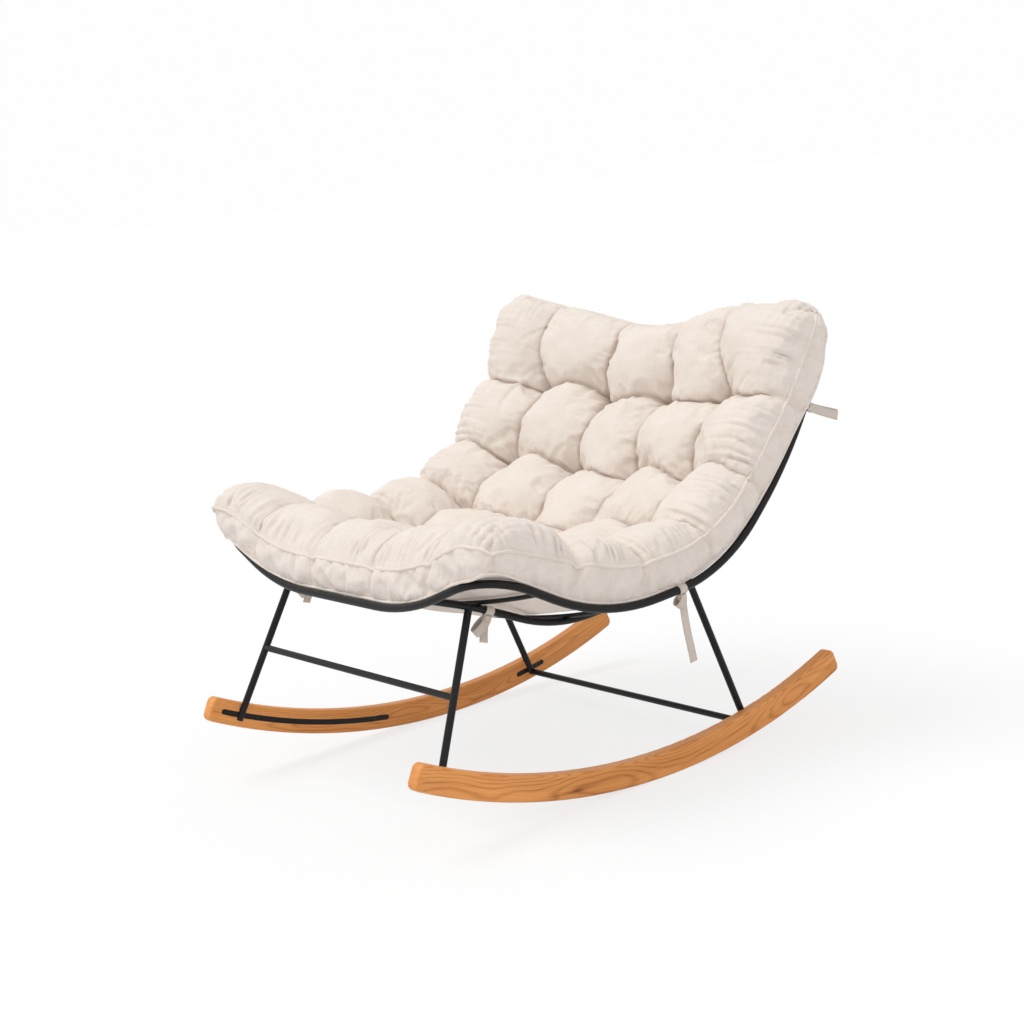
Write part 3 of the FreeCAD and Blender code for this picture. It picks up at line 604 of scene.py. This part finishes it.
def ridgeCord(name, ridge, inner, outer, lift):
    radius, sides = welt["radius"], welt["sides"]
    tangent = unit(np.roll(ridge, -1, axis=0) - np.roll(ridge, 1, axis=0))
    out = unit(2 * ridge - inner - outer)
    for evening in range(welt["evenings"]):
        out = unit(np.roll(out, 1, axis=0) + 2 * out + np.roll(out, -1, axis=0))
    out = unit(out - tangent * np.sum(out * tangent, axis=1, keepdims=True))
    side = np.cross(tangent, out)
    angle = np.linspace(0, 2 * np.pi, sides, endpoint=False)
    circle = out[:, None] * np.cos(angle)[:, None] + side[:, None] * np.sin(angle)[:, None]
    points = (ridge + out * lift)[:, None] + circle * radius
    last = (len(ridge) - 1) * sides
    place = np.arange(sides)
    after = (place + 1) % sides
    closing = np.stack([last + place, last + after, after, place], -1)
    faces = np.vstack([gridFaces(sides, len(ridge), wrap=True), closing])
    length = pathReach(np.vstack([ridge, ridge[:1]]))
    girth = np.linspace(0, 2 * np.pi * radius, sides + 1)
    uvGrid = np.stack(np.broadcast_arrays(length[:, None], girth[None]), -1)
    quadUv = np.stack([uvGrid[:-1, :-1], uvGrid[:-1, 1:], uvGrid[1:, 1:], uvGrid[1:, :-1]], 2).reshape(-1, 2)
    return meshObject(name, points.reshape(-1, 3), faces, quadUv)


upperWelt = ridgeCord("upper_welt", cushionPoints[ring], cushionPoints[innerRing],
                      cushionPoints[ringLadder[1]], welt["lift"])
lowerWelt = ridgeCord("lower_welt", cushionPoints[ringLadder[-1]], cushionPoints[ringLadder[-2]],
                      cushionPoints[topCount + bandCount + innerRing], 0.0)
for cord in (upperWelt, lowerWelt):
    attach(cord, "root")
print("welts laid")

# Cloth ties: flat strips wound round a tube, a knot below it, and tails or loops that hang from the knot
ties = {
    "tie_front": {"centre": (0.26822, -0.27014, 0.36127), "axis": (0.0679, 0.9205, -0.3849),
                  "hang": (-0.03, -0.383, -0.923), "tube": 0.0065, "tail": 0.040, "lean": 0.10, "sway": 0.003,
                  "loop": 0.034, "loopLean": -0.55, "on": "seat_bearer"},
    "tie_side": {"centre": (0.408, 0.03548, 0.34832), "axis": (0, 0.9948, 0.1022),
                 "hang": (0, 0.1022, -0.9948), "tube": 0.007, "tail": 0.118, "lean": 0.02, "sway": 0.002,
                 "loop": 0.020, "loopLean": -0.9, "on": "seat_rim"},
    "tie_back": {"centre": (0.408, 0.36905, 0.61356), "axis": (0, 0.5072, 0.8618),
                 "hang": (0, 0.8618, -0.5072), "tube": 0.007, "tail": 0.070, "lean": 0.22, "sway": 0.003,
                 "loop": 0.0, "loopLean": 0.0, "on": "seat_rim"},
}
strip = {"width": 0.0160, "thick": 0.0012, "step": 0.0025, "across": 7}
knotting = {"below": 0.0055, "half": 0.0086, "depth": 0.0052, "width": 0.0105, "bow": 0.0075,
            "apart": 0.004, "behind": 0.0030, "sways": 1.3, "steps": 60}


# Flat strip: straight across at each place of its centre line, with the hem's length and width as its map
def clothStrip(name, line, across, width):
    shares = np.linspace(-0.5, 0.5, strip["across"])
    reach = pathReach(line)
    points = line[:, None] + unit(across)[:, None] * (shares * width)[:, None]
    uvGrid = np.stack(np.broadcast_arrays((shares * width)[None], reach[:, None]), -1).reshape(-1, 2)
    faces = gridFaces(len(shares), len(line))
    piece = meshObject(name, points.reshape(-1, 3), faces, uvGrid[faces.ravel()])
    wall = piece.modifiers.new("wall", "SOLIDIFY")
    wall.thickness = strip["thick"]
    wall.offset = 0
    return piece, reach[-1]


def evenly(line, step):
    reach = pathReach(line)
    at = np.linspace(0, reach[-1], max(4, int(reach[-1] / step)))
    return np.stack([np.interp(at, reach, line[:, k]) for k in range(3)], -1)


stripPieces = []
for name, tie in ties.items():
    for label, mirror in (("left", 1), ("right", -1)):
        flip = np.array([mirror, 1, 1])
        centre = np.array(tie["centre"])
        axis, hang = unit(np.array(tie["axis"], float)), unit(np.array(tie["hang"], float))
        side = np.cross(axis, hang)
        outer = tie["tube"] + strip["thick"]
        turn = np.linspace(0, 2 * np.pi, knotting["steps"])[:, None]
        wrap = centre + outer * (np.cos(turn) * hang + np.sin(turn) * side)
        knotAt = centre + hang * (outer + knotting["below"])
        knot = knotAt + axis * knotting["half"] * np.cos(turn) + side * knotting["depth"] * np.sin(turn)
        fall = np.linspace(0, 1, knotting["steps"])[:, None]
        sway = side * tie["sway"] * np.sin(np.pi * knotting["sways"] * fall)
        tail = knotAt + hang * fall * tie["tail"] + axis * tie["lean"] * fall * tie["tail"] + sway
        tailAcross = axis - hang * tie["lean"]
        lines = [("wrap", wrap, axis, strip["width"]), ("knot", knot, hang, knotting["width"]),
                 ("tail", tail, tailAcross, strip["width"])]
        if tie["loop"]:
            out = unit(hang + axis * tie["loopLean"])
            bow = knotAt + out * tie["loop"] * np.sin(turn / 2) ** 2 - side * knotting["bow"] * np.sin(turn)
            lines.append(("loop", bow, np.cross(out, side), strip["width"]))
        else:
            second = tail - axis * knotting["apart"] * fall - side * knotting["behind"]
            lines.append(("second_tail", second, tailAcross, strip["width"]))
        for part, line, across, width in lines:
            line = evenly(line * flip, strip["step"])
            across = np.resize(across * flip, (len(line), 3))
            piece, length = clothStrip(f"{name}_{label}_{part}", line, across, width)
            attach(piece, "root")
            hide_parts(f"{name}_{label}")
            stripPieces.append(piece)
print("ties hung:", len(stripPieces), "strips")

# Camera of the photograph, turned with the chair
camera = {"place": (2.67307, -2.18438, 0.83137), "azimuth": np.radians(51.1417),
          "elevation": np.radians(6.3077), "focal": 1873.96, "picture": 1024, "sensor": 36}
azimuth, elevation = camera["azimuth"], camera["elevation"]
ahead = np.cos(elevation)
back = np.array([np.sin(azimuth) * ahead, -np.cos(azimuth) * ahead, np.sin(elevation)])
right = np.array([np.cos(azimuth), np.sin(azimuth), 0])
axes = np.stack([right, np.cross(back, right), back]) @ rollMatrix.T
lens = bpy.data.cameras.new("photo_camera")
lens.sensor_width = camera["sensor"]
lens.lens = camera["focal"] * camera["sensor"] / camera["picture"]
viewer = bpy.data.objects.new("photo_camera", lens)
viewer.matrix_world = Matrix([[*axes[:, k], toRest(camera["place"])[k]] for k in range(3)] + [[0, 0, 0, 1]])
scene.collection.objects.link(viewer)
scene.camera = viewer


# Materials
def newMaterial(name):
    material = bpy.data.materials.new(name)
    material.use_nodes = True
    return material, material.node_tree, material.node_tree.nodes["Principled BSDF"]


def addNode(tree, kind, **values):
    made = tree.nodes.new(kind)
    for key, value in values.items():
        setattr(made, key, value)
    return made


# Numbers go straight on the sockets and other values are linked
def feed(tree, made, values):
    for place, value in enumerate(values):
        if isinstance(value, (int, float)):
            made.inputs[place].default_value = value
        else:
            tree.links.new(value, made.inputs[place])
    return made.outputs[0]


# One arithmetic step
def calc(tree, operation, *values):
    return feed(tree, addNode(tree, "ShaderNodeMath", operation=operation), values)


def scaled(tree, value, factor):
    return calc(tree, "MULTIPLY", value, factor)


def sumSquares(tree, first, second):
    return calc(tree, "ADD", calc(tree, "POWER", first, 2), calc(tree, "POWER", second, 2))


def joined(tree, x, y, z):
    return feed(tree, addNode(tree, "ShaderNodeCombineXYZ"), (x, y, z))


def noiseAt(tree, vector, scale, detail=2.0, roughness=0.5):
    made = addNode(tree, "ShaderNodeTexNoise")
    made.inputs["Scale"].default_value = scale
    made.inputs["Detail"].default_value = detail
    made.inputs["Roughness"].default_value = roughness
    tree.links.new(vector, made.inputs["Vector"])
    return made.outputs["Fac"]


def colourRamp(tree, value, stops):
    made = addNode(tree, "ShaderNodeValToRGB")
    ramp = made.color_ramp
    while len(ramp.elements) < len(stops):
        ramp.elements.new(0.5)
    for element, (place, colour) in zip(ramp.elements, stops):
        element.position = place
        element.color = (*colour, 1)
    tree.links.new(value, made.inputs["Fac"])
    return made.outputs["Color"]


def bumpOf(tree, height, strength, distance):
    made = addNode(tree, "ShaderNodeBump")
    made.inputs["Strength"].default_value = strength
    made.inputs["Distance"].default_value = distance
    tree.links.new(height, made.inputs["Height"])
    return made.outputs["Normal"]


# Linen: threads both ways that pass over and under each other, with thicker and thinner ones among them, and
# a darker colour painted as shade in creases and pits
weave = {"pitch": 0.0013, "light": (0.85, 0.770, 0.705), "dark": (0.76, 0.672, 0.600),
         "tieLight": (0.70, 0.62, 0.55), "tieDark": (0.60, 0.52, 0.45), "shadeTint": (0.52, 0.45, 0.39),
         "slubAlong": 30, "slubAcross": 700, "broad": 22, "slubTone": 0.35, "broadTone": 0.3,
         "darkAt": 0.36, "lightAt": 0.62, "hem": 0.0048, "stitch": 0.0008, "stitchBlend": 0.0004,
         "stitchDepth": 2500.0, "bump": (0.35, 0.0003)}
clothGroup = bpy.data.node_groups.new("linen_weave", "ShaderNodeTree")
clothGroup.interface.new_socket("Map", in_out="INPUT", socket_type="NodeSocketVector")
clothGroup.interface.new_socket("Height", in_out="OUTPUT", socket_type="NodeSocketFloat")
clothGroup.interface.new_socket("Shade", in_out="OUTPUT", socket_type="NodeSocketFloat")
entry = addNode(clothGroup, "NodeGroupInput")
leave = addNode(clothGroup, "NodeGroupOutput")
split = addNode(clothGroup, "ShaderNodeSeparateXYZ")
clothGroup.links.new(entry.outputs["Map"], split.inputs[0])
x, y = split.outputs[0], split.outputs[1]
waveX = calc(clothGroup, "SINE", scaled(clothGroup, x, np.pi / weave["pitch"]))
waveY = calc(clothGroup, "SINE", scaled(clothGroup, y, np.pi / weave["pitch"]))
over = calc(clothGroup, "MULTIPLY", waveX, waveY)
threads = calc(clothGroup, "ADD", calc(clothGroup, "ABSOLUTE", waveX), calc(clothGroup, "ABSOLUTE", waveY))
height = calc(clothGroup, "MULTIPLY_ADD", over, 0.5, scaled(clothGroup, threads, 0.5))
slow, quick = weave["slubAlong"], weave["slubAcross"]
weft = joined(clothGroup, scaled(clothGroup, x, slow), scaled(clothGroup, y, quick), 0)
warp = joined(clothGroup, scaled(clothGroup, x, quick), scaled(clothGroup, y, slow), 4)
slubs = calc(clothGroup, "ADD", noiseAt(clothGroup, weft, 1, 3), noiseAt(clothGroup, warp, 1, 3))
broad = noiseAt(clothGroup, entry.outputs["Map"], weave["broad"], 3)
shade = calc(clothGroup, "ADD", scaled(clothGroup, slubs, weave["slubTone"]),
             scaled(clothGroup, broad, weave["broadTone"]))
clothGroup.links.new(height, leave.inputs["Height"])
clothGroup.links.new(shade, leave.inputs["Shade"])


def clothMaterial(name, light, dark, hem=None):
    material, tree, shader = newMaterial(name)
    place = addNode(tree, "ShaderNodeUVMap", uv_map="cloth")
    linen = addNode(tree, "ShaderNodeGroup", node_tree=clothGroup)
    tree.links.new(place.outputs["UV"], linen.inputs["Map"])
    stops = [(weave["darkAt"], dark), (weave["lightAt"], light)]
    colour = colourRamp(tree, linen.outputs["Shade"], stops)
    # Painted shade: the colour is multiplied towards the darker tint where a point carries painted shade in a
    # crease or pit
    shadeTint = addNode(tree, "ShaderNodeAttribute", attribute_name="paintedShade")
    tint = addNode(tree, "ShaderNodeMix", data_type="RGBA", blend_type="MULTIPLY")
    tree.links.new(shadeTint.outputs["Fac"], tint.inputs[0])
    tree.links.new(colour, tint.inputs[6])
    tint.inputs[7].default_value = (*weave["shadeTint"], 1)
    tree.links.new(tint.outputs[2], shader.inputs["Base Color"])
    shader.inputs["Roughness"].default_value = 0.95
    shader.inputs["Specular IOR Level"].default_value = 0.15
    shader.inputs["Sheen Weight"].default_value = 0.12
    shader.inputs["Sheen Roughness"].default_value = 0.5
    height = linen.outputs["Height"]
    if hem:
        split = addNode(tree, "ShaderNodeSeparateXYZ")
        tree.links.new(place.outputs["UV"], split.inputs[0])
        fromHem = calc(tree, "SUBTRACT", calc(tree, "ABSOLUTE", split.outputs[0]), hem)
        offHem = calc(tree, "ABSOLUTE", fromHem)
        groove = calc(tree, "SMOOTH_MIN", offHem, weave["stitch"], weave["stitchBlend"])
        height = calc(tree, "MULTIPLY_ADD", groove, weave["stitchDepth"], height)
    tree.links.new(bumpOf(tree, height, *weave["bump"]), shader.inputs["Normal"])
    return material


cushionCloth = clothMaterial("warm_white_linen", weave["light"], weave["dark"])
tieCloth = clothMaterial("warm_white_tape", weave["tieLight"], weave["tieDark"], hem=weave["hem"])

# Satin black coating: even, with a faint orange-peel
coat = {"colour": (0.006, 0.006, 0.0065, 1), "specular": 0.24, "peel": 900, "cloud": 14,
        "roughness": (0.16, 0.3), "bump": (0.12, 0.0002)}
metalMaterial, tree, shader = newMaterial("satin_black_coat")
where = addNode(tree, "ShaderNodeTexCoord")
shader.inputs["Base Color"].default_value = coat["colour"]
shader.inputs["Specular IOR Level"].default_value = coat["specular"]
peel = noiseAt(tree, where.outputs["Object"], coat["peel"], 2)
cloud = noiseAt(tree, where.outputs["Object"], coat["cloud"], 3)
tree.links.new(calc(tree, "MULTIPLY_ADD", cloud, *coat["roughness"]), shader.inputs["Roughness"])
tree.links.new(bumpOf(tree, peel, *coat["bump"]), shader.inputs["Normal"])

# Dark screw heads
screwMaterial, tree, shader = newMaterial("blackened_screw")
shader.inputs["Base Color"].default_value = (0.03, 0.028, 0.027, 1)
shader.inputs["Metallic"].default_value = 0.8
shader.inputs["Roughness"].default_value = 0.38

# Oiled wood: growth rings round a heart that wanders along the curved runner, cut by its faces
grain = {"ring": 0.0028, "ringPower": 3.0, "heart": (0.0, -0.065), "wander": 0.05, "wanderScale": 2.6,
         "middle": 0.31, "apart": 3.7, "wobble": (9, 26), "wobbleRings": 1.6, "fibre": (12, 520),
         "streak": (4.5, 60), "ringTone": 0.20, "fibreTone": 0.42, "streakTone": 0.42,
         "roughness": (0.2, 0.38), "bump": (0.12, 0.0004),
         "stops": [(0.30, (0.88, 0.38, 0.112)), (0.52, (0.73, 0.288, 0.074)), (0.70, (0.53, 0.185, 0.044)),
                   (0.92, (0.24, 0.075, 0.021))]}
woodMaterial, tree, shader = newMaterial("oiled_wood")
where = addNode(tree, "ShaderNodeTexCoord")
split = addNode(tree, "ShaderNodeSeparateXYZ")
tree.links.new(where.outputs["Object"], split.inputs[0])
offY = calc(tree, "SUBTRACT", split.outputs[1], restContact)
offZ = calc(tree, "SUBTRACT", rest["arcRadius"], split.outputs[2])
along = scaled(tree, calc(tree, "ARCTAN2", offY, offZ), rest["arcRadius"])
radial = calc(tree, "SUBTRACT", rest["arcRadius"], calc(tree, "SQRT", sumSquares(tree, offY, offZ)))
inward = calc(tree, "SUBTRACT", calc(tree, "ABSOLUTE", split.outputs[0]), grain["middle"])
sideSign = scaled(tree, calc(tree, "SIGN", split.outputs[0]), grain["apart"])


# Place in the wood, squeezed along the grain and across it
def grainPlace(lengthwise, crosswise, shift=None):
    depth = scaled(tree, inward, crosswise)
    depth = depth if shift is None else calc(tree, "ADD", depth, shift)
    return joined(tree, scaled(tree, along, lengthwise), scaled(tree, radial, crosswise), depth)


drift = noiseAt(tree, joined(tree, along, sideSign, 0), grain["wanderScale"], 1)
wobble = noiseAt(tree, grainPlace(*grain["wobble"]), 1, 3)
heartX = calc(tree, "ADD", inward, calc(tree, "MULTIPLY_ADD", drift, grain["wander"], grain["heart"][0]))
heartR = calc(tree, "ADD", radial, calc(tree, "MULTIPLY_ADD", drift, 2 * grain["wander"], grain["heart"][1]))
fromHeart = calc(tree, "SQRT", sumSquares(tree, heartX, heartR))
rings = calc(tree, "DIVIDE", fromHeart, grain["ring"])
rings = calc(tree, "ADD", rings, scaled(tree, wobble, grain["wobbleRings"]))
ringWave = calc(tree, "MULTIPLY_ADD", calc(tree, "SINE", scaled(tree, rings, 2 * np.pi)), 0.5, 0.5)
ringShade = calc(tree, "POWER", ringWave, grain["ringPower"])
fibre = noiseAt(tree, grainPlace(*grain["fibre"]), 1, 3)
streak = noiseAt(tree, grainPlace(*grain["streak"], sideSign), 1, 2)
tone = calc(tree, "ADD", scaled(tree, fibre, grain["fibreTone"]), scaled(tree, streak, grain["streakTone"]))
tone = calc(tree, "ADD", scaled(tree, ringShade, grain["ringTone"]), tone)
# A dark heart streak low on one runner's outer face
dark = {"from": 0.235, "half": 0.05, "slope": 0.006, "height": 0.013, "thick": 0.0035, "tone": 0.32}
offStreak = calc(tree, "DIVIDE", calc(tree, "ADD", along, dark["from"]), dark["half"])
streakLine = calc(tree, "MULTIPLY_ADD", offStreak, dark["slope"], dark["height"])
offHeight = calc(tree, "DIVIDE", calc(tree, "SUBTRACT", radial, streakLine), dark["thick"])
streakShape = sumSquares(tree, offStreak, offHeight)
onLeft = calc(tree, "GREATER_THAN", split.outputs[0], 0)
heartStreak = calc(tree, "MULTIPLY", calc(tree, "EXPONENT", scaled(tree, streakShape, -1)), onLeft)
tone = calc(tree, "MULTIPLY_ADD", heartStreak, dark["tone"], tone)
tree.links.new(colourRamp(tree, tone, grain["stops"]), shader.inputs["Base Color"])
tree.links.new(calc(tree, "MULTIPLY_ADD", tone, *grain["roughness"]), shader.inputs["Roughness"])
shader.inputs["Specular IOR Level"].default_value = 0.35
tree.links.new(bumpOf(tree, fibre, *grain["bump"]), shader.inputs["Normal"])

finishes = {"frame_steel": metalMaterial, "screw_steel": screwMaterial, "rocker_wood": woodMaterial,
            "cushion_fabric": cushionCloth, "tie_fabric": tieCloth}


def dress(piece, material):
    piece.data.materials.clear()
    piece.data.materials.append(material)


for row in frame["record"]["subparts"]:
    for place in nodes[row["node"]].material_slots:
        place.material = finishes[row["material_slot"]]
for piece in (pad, upperWelt, lowerWelt):
    dress(piece, cushionCloth)
for piece in stripPieces:
    dress(piece, tieCloth)
print("materials made")


# 1 for rays that show the ground: straight from the camera, mirrored or passed through
def lookedAt(tree):
    path = addNode(tree, "ShaderNodeLightPath")
    mirrored = calc(tree, "MAXIMUM", path.outputs["Is Glossy Ray"], path.outputs["Is Transmission Ray"])
    return calc(tree, "MAXIMUM", path.outputs["Is Camera Ray"], mirrored)


# Pale floor and soft studio light: a wide key from the upper left and an even sky
studio = {"floorHalf": 60.0, "floorColour": (0.80, 0.80, 0.80, 1), "sky": 0.72, "seenSky": 0.99,
          "floorGlow": 1.05, "shadowLift": 0.70}
suns = {"key": {"towards": (-0.30, -0.42, 1.0), "strength": 1.3, "width": 35},
        "fill": {"towards": (0.8, -0.2, 0.5), "strength": 0.2, "width": 60}}
corners = np.array([(-1, -1, 0), (1, -1, 0), (1, 1, 0), (-1, 1, 0)]) * studio["floorHalf"]
floor = meshObject("studio_floor", corners, [(0, 1, 2, 3)], smooth=False)
floorMaterial, tree, shader = newMaterial("studio_floor")
shader.inputs["Base Color"].default_value = studio["floorColour"]
shader.inputs["Roughness"].default_value = 1.0
shader.inputs["Specular IOR Level"].default_value = 0.0
glow = addNode(tree, "ShaderNodeEmission")
glow.inputs["Strength"].default_value = studio["floorGlow"]
mixed = addNode(tree, "ShaderNodeMixShader")
tree.links.new(calc(tree, "MULTIPLY", lookedAt(tree), studio["shadowLift"]), mixed.inputs[0])
tree.links.new(shader.outputs[0], mixed.inputs[1])
tree.links.new(glow.outputs[0], mixed.inputs[2])
tree.links.new(mixed.outputs[0], tree.nodes["Material Output"].inputs["Surface"])
dress(floor, floorMaterial)
world = bpy.data.worlds.new("studio_world")
world.use_nodes = True
scene.world = world
sky = world.node_tree.nodes["Background"]
level = addNode(world.node_tree, "ShaderNodeMapRange")
level.inputs["To Min"].default_value = studio["sky"]
level.inputs["To Max"].default_value = studio["seenSky"]
world.node_tree.links.new(lookedAt(world.node_tree), level.inputs["Value"])
world.node_tree.links.new(level.outputs["Result"], sky.inputs["Strength"])
sky.inputs["Color"].default_value = (1, 1, 1, 1)
for name, sun in suns.items():
    light = bpy.data.lights.new(name, "SUN")
    light.energy = sun["strength"]
    light.angle = np.radians(sun["width"])
    lamp = bpy.data.objects.new(name, light)
    lamp.rotation_mode = "QUATERNION"
    lamp.rotation_quaternion = Vector(sun["towards"]).to_track_quat("Z", "Y")
    scene.collection.objects.link(lamp)
